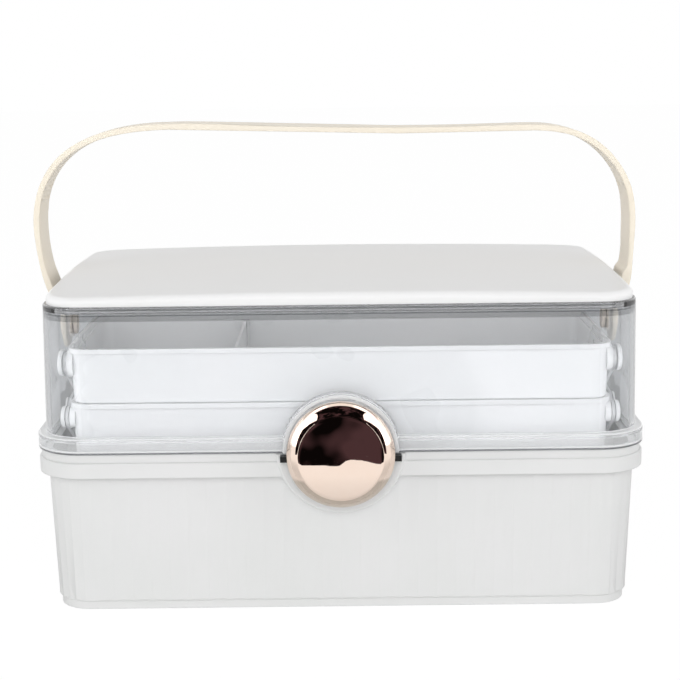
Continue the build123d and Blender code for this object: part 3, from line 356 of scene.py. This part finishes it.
# soft TPU strap: warm cream, matt on the faces with a faint pebble
strapLook = {
    "creamLow": "#FDF1DF", "creamHigh": "#FFF6E6", "driftSize": 30 * mm,
    "roughness": 0.48, "ior": 1.5,
    "pebbleSize": 0.9 * mm, "pebbleDepth": 0.05 * mm, "pebbleStrength": 0.25,
    "glowRadius": 1.5 * mm, "glow": 0.15,
}
strapCream, tree, place = startMaterial("embossed cream TPU")
strapDrift = addNode(tree, "ShaderNodeTexNoise", {"Scale": 1 / strapLook["driftSize"]},
                     {"Vector": place})
creamShade = addNode(tree, "ShaderNodeValToRGB", {}, {"Fac": strapDrift.outputs["Fac"]})
creamShade.color_ramp.elements[0].color = hexLinear(strapLook["creamLow"])
creamShade.color_ramp.elements[1].color = hexLinear(strapLook["creamHigh"])
pebble = addNode(tree, "ShaderNodeTexVoronoi", {
    "feature": "SMOOTH_F1", "Scale": 1 / strapLook["pebbleSize"],
}, {"Vector": place})
strapBump = addNode(tree, "ShaderNodeBump", {
    "Strength": strapLook["pebbleStrength"], "Distance": strapLook["pebbleDepth"],
}, {"Height": pebble.outputs["Distance"]})
strapShader = addNode(tree, "ShaderNodeBsdfPrincipled", {
    "Roughness": strapLook["roughness"], "IOR": strapLook["ior"],
    "Subsurface Weight": strapLook["glow"],
    "Subsurface Radius": (strapLook["glowRadius"],) * 3,
}, {"Base Color": creamShade.outputs["Color"], "Normal": strapBump.outputs["Normal"]})
endMaterial(tree, strapShader.outputs["BSDF"])
print("clear, plated, steel and strap materials ready")

finishes = {
    "white_plastic": binWhite, "satin_white": capWhite, "tray_plastic": trayWhite,
    "clear_plastic": coverClear, "frosted_plastic": armFrost, "cream_strap": strapCream,
    "rivet_plastic": studCream, "rose_gold": roseGold, "black_plastic": latchBlack,
    "steel": drawnSteel,
}
for subpart in frame["record"]["subparts"]:
    piece = nodes[subpart["node"]]
    piece.data.materials.clear()
    piece.data.materials.append(finishes[subpart["material_slot"]])
print("finishes laid on every node")


# the soft strap: the solid's outline with rolled edges

strapShape = {
    "edgeRound": 1.0 * mm, "roundSteps": 4, "flatAngle": 2.0, "edgeAngle": 50.0,
    "smoothAngle": 35.0, "mergeReach": 0.01 * mm,
}
softStrap = nodes["handle_strap"].copy()
softStrap.data = nodes["handle_strap"].data.copy()
softStrap.name = "soft_carrying_strap"
bpy.context.scene.collection.objects.link(softStrap)
softStrap.parent = None
pick(softStrap)
bpy.ops.object.mode_set(mode="EDIT")
bpy.ops.mesh.select_all(action="SELECT")
bpy.ops.mesh.remove_doubles(threshold=strapShape["mergeReach"])
bpy.ops.mesh.dissolve_limited(angle_limit=radians(strapShape["flatAngle"]))
bpy.ops.object.mode_set(mode="OBJECT")
rolled = softStrap.modifiers.new("rolled edges", "BEVEL")
rolled.width = strapShape["edgeRound"]
rolled.segments = strapShape["roundSteps"]
rolled.limit_method = "ANGLE"
rolled.angle_limit = radians(strapShape["edgeAngle"])
bpy.ops.object.modifier_apply(modifier=rolled.name)
bpy.ops.object.shade_smooth_by_angle(angle=radians(strapShape["smoothAngle"]))
softStrap.data.materials.clear()
softStrap.data.materials.append(strapCream)
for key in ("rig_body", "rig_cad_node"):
    if key in softStrap:
        del softStrap[key]
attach(softStrap, "handle")
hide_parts("handle_strap")
print("strap made with", len(softStrap.data.polygons), "faces")


# the button: one profile spun round its own axis, so the plating stays smooth

buttonShape = {
    "middleHeight": 82.6 * mm, "back": -101.7 * mm, "radius": 26.0 * mm, "edge": 2.4 * mm,
    "bevelWidth": 5.4 * mm, "bevelRise": 6.0 * mm, "bevelBulge": 0.5 * mm, "crown": 0.7 * mm,
    "backChamfer": 0.4 * mm, "faceRound": 0.35 * mm, "roundSteps": 4, "roundAngle": 20.0,
    "turns": 128, "bevelSteps": 8, "faceSteps": 12, "mergeReach": 0.005 * mm,
}


def buttonProfile(shape):
    rimPlace = shape["back"] - shape["edge"]
    faceRadius = shape["radius"] - shape["bevelWidth"]
    facePlace = rimPlace - shape["bevelRise"]
    chamfer = shape["backChamfer"]
    points = [(0.0, shape["back"]), (shape["radius"] - chamfer, shape["back"]),
              (shape["radius"], shape["back"] - chamfer), (shape["radius"], rimPlace)]
    slopeLength = (shape["bevelWidth"] ** 2 + shape["bevelRise"] ** 2) ** 0.5
    outward = (shape["bevelRise"] / slopeLength, -shape["bevelWidth"] / slopeLength)
    for step in range(1, shape["bevelSteps"]):
        share = step / shape["bevelSteps"]
        swell = shape["bevelBulge"] * 4 * share * (1 - share)
        points.append((shape["radius"] - share * shape["bevelWidth"] + outward[0] * swell,
                       rimPlace - share * shape["bevelRise"] + outward[1] * swell))
    for step in range(shape["faceSteps"] + 1):
        radius = faceRadius * (1 - step / shape["faceSteps"])
        points.append((radius, facePlace - shape["crown"] * (1 - (radius / faceRadius) ** 2)))
    return points


deselectAll()
bpy.ops.mesh.primitive_plane_add(size=1)
platedButton = bpy.context.object
platedButton.name = "plated_round_button"
profile = buttonProfile(buttonShape)
platedButton.data.clear_geometry()
platedButton.data.from_pydata(
    [(radius, place, buttonShape["middleHeight"]) for radius, place in profile],
    [(i, i + 1) for i in range(len(profile) - 1)], [])
pick(platedButton)
bpy.ops.object.mode_set(mode="EDIT")
bpy.ops.mesh.select_all(action="SELECT")
bpy.ops.mesh.spin(steps=buttonShape["turns"], angle=2 * pi, axis=(0, 1, 0),
                  center=(0, 0, buttonShape["middleHeight"]))
bpy.ops.mesh.select_all(action="SELECT")
bpy.ops.mesh.remove_doubles(threshold=buttonShape["mergeReach"])
bpy.ops.mesh.normals_make_consistent(inside=False)
bpy.ops.object.mode_set(mode="OBJECT")
rounded = platedButton.modifiers.new("rounded plating edges", "BEVEL")
rounded.width = buttonShape["faceRound"]
rounded.segments = buttonShape["roundSteps"]
rounded.limit_method = "ANGLE"
rounded.angle_limit = radians(buttonShape["roundAngle"])
bpy.ops.object.modifier_apply(modifier=rounded.name)
bpy.ops.object.shade_smooth()
platedButton.data.materials.append(roseGold)
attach(platedButton, "latch")
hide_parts("latch_button")
print("button spun with", len(platedButton.data.polygons), "faces")


# floor, light and camera

def clearPaths(tree):
    # tells rays that have gone through the clear cover from the plain mirror rays
    path = addNode(tree, "ShaderNodeLightPath")
    behindClear = addNode(tree, "ShaderNodeMath", {"operation": "GREATER_THAN", 1: 0.5},
                          {0: path.outputs["Transmission Depth"]})
    outsideClear = addNode(tree, "ShaderNodeMath", {"operation": "SUBTRACT", 0: 1.0},
                           {1: behindClear.outputs["Value"]})
    mirrorOnly = addNode(tree, "ShaderNodeMath", {"operation": "MULTIPLY"}, {
        0: path.outputs["Is Glossy Ray"], 1: outsideClear.outputs["Value"],
    })
    return path.outputs, behindClear.outputs["Value"], mirrorOnly.outputs["Value"]


floorLook = {
    "size": 12.0, "white": "#F6F6F6", "coverShadeGrey": "#C5C6C7",
    "cameraWhite": 0.93, "paperGlow": 1.03,
    "mirrorNear": 0.2, "mirrorFar": 0.32, "mirrorWhite": 0.9,
    "fibreSize": 3 * mm, "fibreDetail": 2.0, "fibreStrength": 0.05, "fibreDepth": 0.1 * mm,
}
deselectAll()
bpy.ops.mesh.primitive_plane_add(size=floorLook["size"], location=(0, 0, 0))
floor = bpy.context.object
floor.name = "studio_floor"
floorPaper, tree, place = startMaterial("white paper sweep")
fibre = addNode(tree, "ShaderNodeTexNoise", {
    "Scale": 1 / floorLook["fibreSize"], "Detail": floorLook["fibreDetail"],
}, {"Vector": place})
fibreBump = addNode(tree, "ShaderNodeBump", {
    "Strength": floorLook["fibreStrength"], "Distance": floorLook["fibreDepth"],
}, {"Height": fibre.outputs["Fac"]})
floorPath, behindClear, mirrorOnly = clearPaths(tree)
# painted shade: paper seen straight through the cover is painted grey
firstSight = addNode(tree, "ShaderNodeMath", {"operation": "LESS_THAN", 1: 0.5},
                     {0: floorPath["Diffuse Depth"]})
throughCover = addNode(tree, "ShaderNodeMath", {"operation": "MULTIPLY"}, {
    0: firstSight.outputs["Value"], 1: behindClear,
})
paperShade = addNode(tree, "ShaderNodeMix", {
    "data_type": "RGBA", 6: hexLinear(floorLook["white"]), 7: hexLinear(floorLook["coverShadeGrey"]),
}, {0: throughCover.outputs["Value"]})
paper = addNode(tree, "ShaderNodeBsdfDiffuse", {}, {
    "Color": paperShade.outputs[2], "Normal": fibreBump.outputs["Normal"],
})
paperWhite = addNode(tree, "ShaderNodeEmission", {
    "Color": (1, 1, 1, 1), "Strength": floorLook["paperGlow"],
})
# polished surfaces see the paper white away from the case, shaded under it
awayFromCase = addNode(tree, "ShaderNodeVectorMath", {"operation": "LENGTH"}, {0: place})
mirrorShare = addNode(tree, "ShaderNodeMapRange", {
    "From Min": floorLook["mirrorNear"], "From Max": floorLook["mirrorFar"],
    "To Max": floorLook["mirrorWhite"],
}, {"Value": awayFromCase.outputs["Value"]})
mirrorSeen = addNode(tree, "ShaderNodeMath", {"operation": "MULTIPLY"}, {
    0: mirrorShare.outputs["Result"], 1: mirrorOnly,
})
seenShare = addNode(tree, "ShaderNodeMath", {
    "operation": "MULTIPLY_ADD", 1: floorLook["cameraWhite"],
}, {0: floorPath["Is Camera Ray"], 2: mirrorSeen.outputs["Value"]})
floorMix = addNode(tree, "ShaderNodeMixShader", {}, {
    0: seenShare.outputs["Value"], 1: paper.outputs["BSDF"], 2: paperWhite.outputs["Emission"],
})
endMaterial(tree, floorMix.outputs["Shader"])
floor.data.materials.append(floorPaper)

# dark side of the room in front of the case, seen only in polished surfaces
roomLook = {
    "frontPlace": -0.365, "reach": 0.62, "halfWidthLow": 0.175, "halfWidthHigh": 0.42,
    "columns": 48, "steps": 12, "endTurn": 100.0, "turnPlace": -0.11,
    "sidePlace": 0.46, "sideNear": -0.2, "sideFar": -0.5, "sideTop": 0.3, "sideTopFar": 0.75,
    "foldScale": 11.0, "foldDetail": 2.0, "folds": ((0.5, "#0B0808"), (0.6, "#4A363B")),
    # where the low edge stands, in metres across, and how far it is lifted, in mm
    "lowEdge": ((-0.06, 0), (-0.02, 1), (-0.006, -3), (0.01, 10), (0.031, 8), (0.053, 1),
                (0.07, 0)),
}
darkRoomPoints = []


def lowEdgeLift(x):
    lift = 0.0
    for (startX, startLift), (endX, endLift) in zip(roomLook["lowEdge"], roomLook["lowEdge"][1:]):
        if startX <= x <= endX:
            share = (x - startX) / (endX - startX)
            lift = startLift + (endLift - startLift) * share
    return lift * mm


for step in range(roomLook["steps"] + 1):
    share = step / roomLook["steps"]
    turn = radians(share * roomLook["endTurn"])
    widening = roomLook["halfWidthHigh"] - roomLook["halfWidthLow"]
    halfWidth = roomLook["halfWidthLow"] + share * widening
    y = roomLook["turnPlace"] + (roomLook["frontPlace"] - roomLook["turnPlace"]) * cos(turn)
    for column in range(roomLook["columns"] + 1):
        x = halfWidth * (2 * column / roomLook["columns"] - 1)
        lift = lowEdgeLift(x) if step == 0 else 0.0
        darkRoomPoints.append((x, y, roomLook["reach"] * sin(turn) + lift))
rowLength = roomLook["columns"] + 1
darkRoomFaces = [
    (corner, corner + 1, corner + rowLength + 1, corner + rowLength)
    for row in range(roomLook["steps"])
    for corner in range(row * rowLength, row * rowLength + roomLook["columns"])
]
for side in (-1, 1):
    first = len(darkRoomPoints)
    darkRoomPoints += [
        (side * roomLook["sidePlace"], roomLook["sideNear"], 0.0),
        (side * roomLook["sidePlace"], roomLook["sideFar"], 0.0),
        (side * roomLook["sidePlace"], roomLook["sideFar"], roomLook["sideTopFar"]),
        (side * roomLook["sidePlace"], roomLook["sideNear"], roomLook["sideTop"]),
    ]
    darkRoomFaces.append((first, first + 1, first + 2, first + 3))
deselectAll()
bpy.ops.mesh.primitive_plane_add(size=1)
darkRoom = bpy.context.object
darkRoom.name = "dark_room_side"
darkRoom.data.clear_geometry()
darkRoom.data.from_pydata(darkRoomPoints, [], darkRoomFaces)
darkCloth, tree, place = startMaterial("dark room")
folds = addNode(tree, "ShaderNodeTexNoise", {
    "Scale": roomLook["foldScale"], "Detail": roomLook["foldDetail"],
}, {"Vector": place})
foldShade = addNode(tree, "ShaderNodeValToRGB", {}, {"Fac": folds.outputs["Fac"]})
for stop, (position, shade) in zip(foldShade.color_ramp.elements, roomLook["folds"]):
    stop.position = position
    stop.color = hexLinear(shade)
darkGlow = addNode(tree, "ShaderNodeEmission", {"Strength": 1.0},
                   {"Color": foldShade.outputs["Color"]})
endMaterial(tree, darkGlow.outputs["Emission"])
darkRoom.data.materials.append(darkCloth)
for kind in ("camera", "diffuse", "transmission", "volume_scatter", "shadow"):
    setattr(darkRoom, "visible_" + kind, False)

# the sky: dim for plain surfaces, white for mirrors, and its own share through the cover, where
# seen straight through it dimmed as a painted shade
worldLook = {
    "fill": 0.55, "mirror": 1.0, "throughCover": 0.32, "insideCover": 0.9,
    "sideMirror": 1.7, "sideFrom": 0.28, "sideTo": 0.36,
}
world = bpy.data.worlds.new("soft studio")
bpy.context.scene.world = world
world.use_nodes = True
tree = world.node_tree
tree.nodes.clear()
worldPath, behindClear, mirrorOnly = clearPaths(tree)
# painted shade: the sky seen straight through the cover is dimmed
bounced = addNode(tree, "ShaderNodeMapRange", {
    "To Min": worldLook["throughCover"], "To Max": worldLook["insideCover"],
}, {"Value": worldPath["Diffuse Depth"]})
throughCover = addNode(tree, "ShaderNodeMath", {"operation": "MULTIPLY"}, {
    0: bounced.outputs["Result"], 1: behindClear,
})
seen = addNode(tree, "ShaderNodeMath", {"operation": "MAXIMUM"}, {
    0: worldPath["Is Camera Ray"], 1: throughCover.outputs["Value"],
})
seenAny = addNode(tree, "ShaderNodeMath", {"operation": "MAXIMUM"}, {
    0: seen.outputs["Value"], 1: mirrorOnly,
})
strength = addNode(tree, "ShaderNodeMapRange", {
    "To Min": worldLook["fill"], "To Max": worldLook["mirror"],
}, {"Value": seenAny.outputs["Value"]})
# white panels at both sides of the studio, seen in polished surfaces
direction = addNode(tree, "ShaderNodeTexCoord")
across = addNode(tree, "ShaderNodeSeparateXYZ", {}, {"Vector": direction.outputs["Generated"]})
sideways = addNode(tree, "ShaderNodeMath", {"operation": "ABSOLUTE"}, {0: across.outputs["X"]})
panel = addNode(tree, "ShaderNodeMapRange", {
    "From Min": worldLook["sideFrom"], "From Max": worldLook["sideTo"],
    "To Min": 0.0, "To Max": worldLook["sideMirror"] - worldLook["mirror"],
}, {"Value": sideways.outputs["Value"]})
panelSeen = addNode(tree, "ShaderNodeMath", {"operation": "MULTIPLY_ADD"}, {
    0: panel.outputs["Result"], 1: mirrorOnly, 2: strength.outputs["Result"],
})
sky = addNode(tree, "ShaderNodeBackground", {"Color": (1, 1, 1, 1)},
              {"Strength": panelSeen.outputs["Value"]})
addNode(tree, "ShaderNodeOutputWorld", {}, {"Surface": sky.outputs["Background"]})

lamps = {
    "low_front_softbox": {"place": (0.0, -1.6, 0.62), "size": 1.1, "power": 8.8},
    "left_softbox": {"place": (-1.3, -0.7, 0.55), "size": 0.9, "power": 3.0},
    "right_softbox": {"place": (1.3, -0.7, 0.55), "size": 0.9, "power": 2.6},
}
lampAim = Vector((0, 0, 0.1))  # the middle of the case
for lampName, lamp in lamps.items():
    light = bpy.data.lights.new(lampName, "AREA")
    light.size = lamp["size"]
    light.energy = lamp["power"]
    lightObject = bpy.data.objects.new(lampName, light)
    bpy.context.scene.collection.objects.link(lightObject)
    lightObject.location = lamp["place"]
    towards = lampAim - Vector(lamp["place"])
    lightObject.rotation_euler = towards.to_track_quat("-Z", "Y").to_euler()
    lightObject.visible_camera = False

cameraFit = {
    "place": (0.0002, -0.790, 0.2741), "pitchDown": 0.195, "roll": 0.0113,
    "focalPixels": 1489.0, "imagePixels": 680.0, "sensor": 36.0,
}
cameraData = bpy.data.cameras.new("photo_camera")
cameraData.sensor_width = cameraFit["sensor"]
cameraData.lens = cameraFit["focalPixels"] / cameraFit["imagePixels"] * cameraFit["sensor"]
camera = bpy.data.objects.new("photo_camera", cameraData)
bpy.context.scene.collection.objects.link(camera)
camera.location = cameraFit["place"]
camera.rotation_euler = (
    Matrix.Rotation(pi / 2 - cameraFit["pitchDown"], 3, "X")
    @ Matrix.Rotation(-cameraFit["roll"], 3, "Z")
).to_euler()
bpy.context.scene.camera = camera
bpy.context.scene.view_settings.view_transform = "Standard"
print("floor, light and camera set")
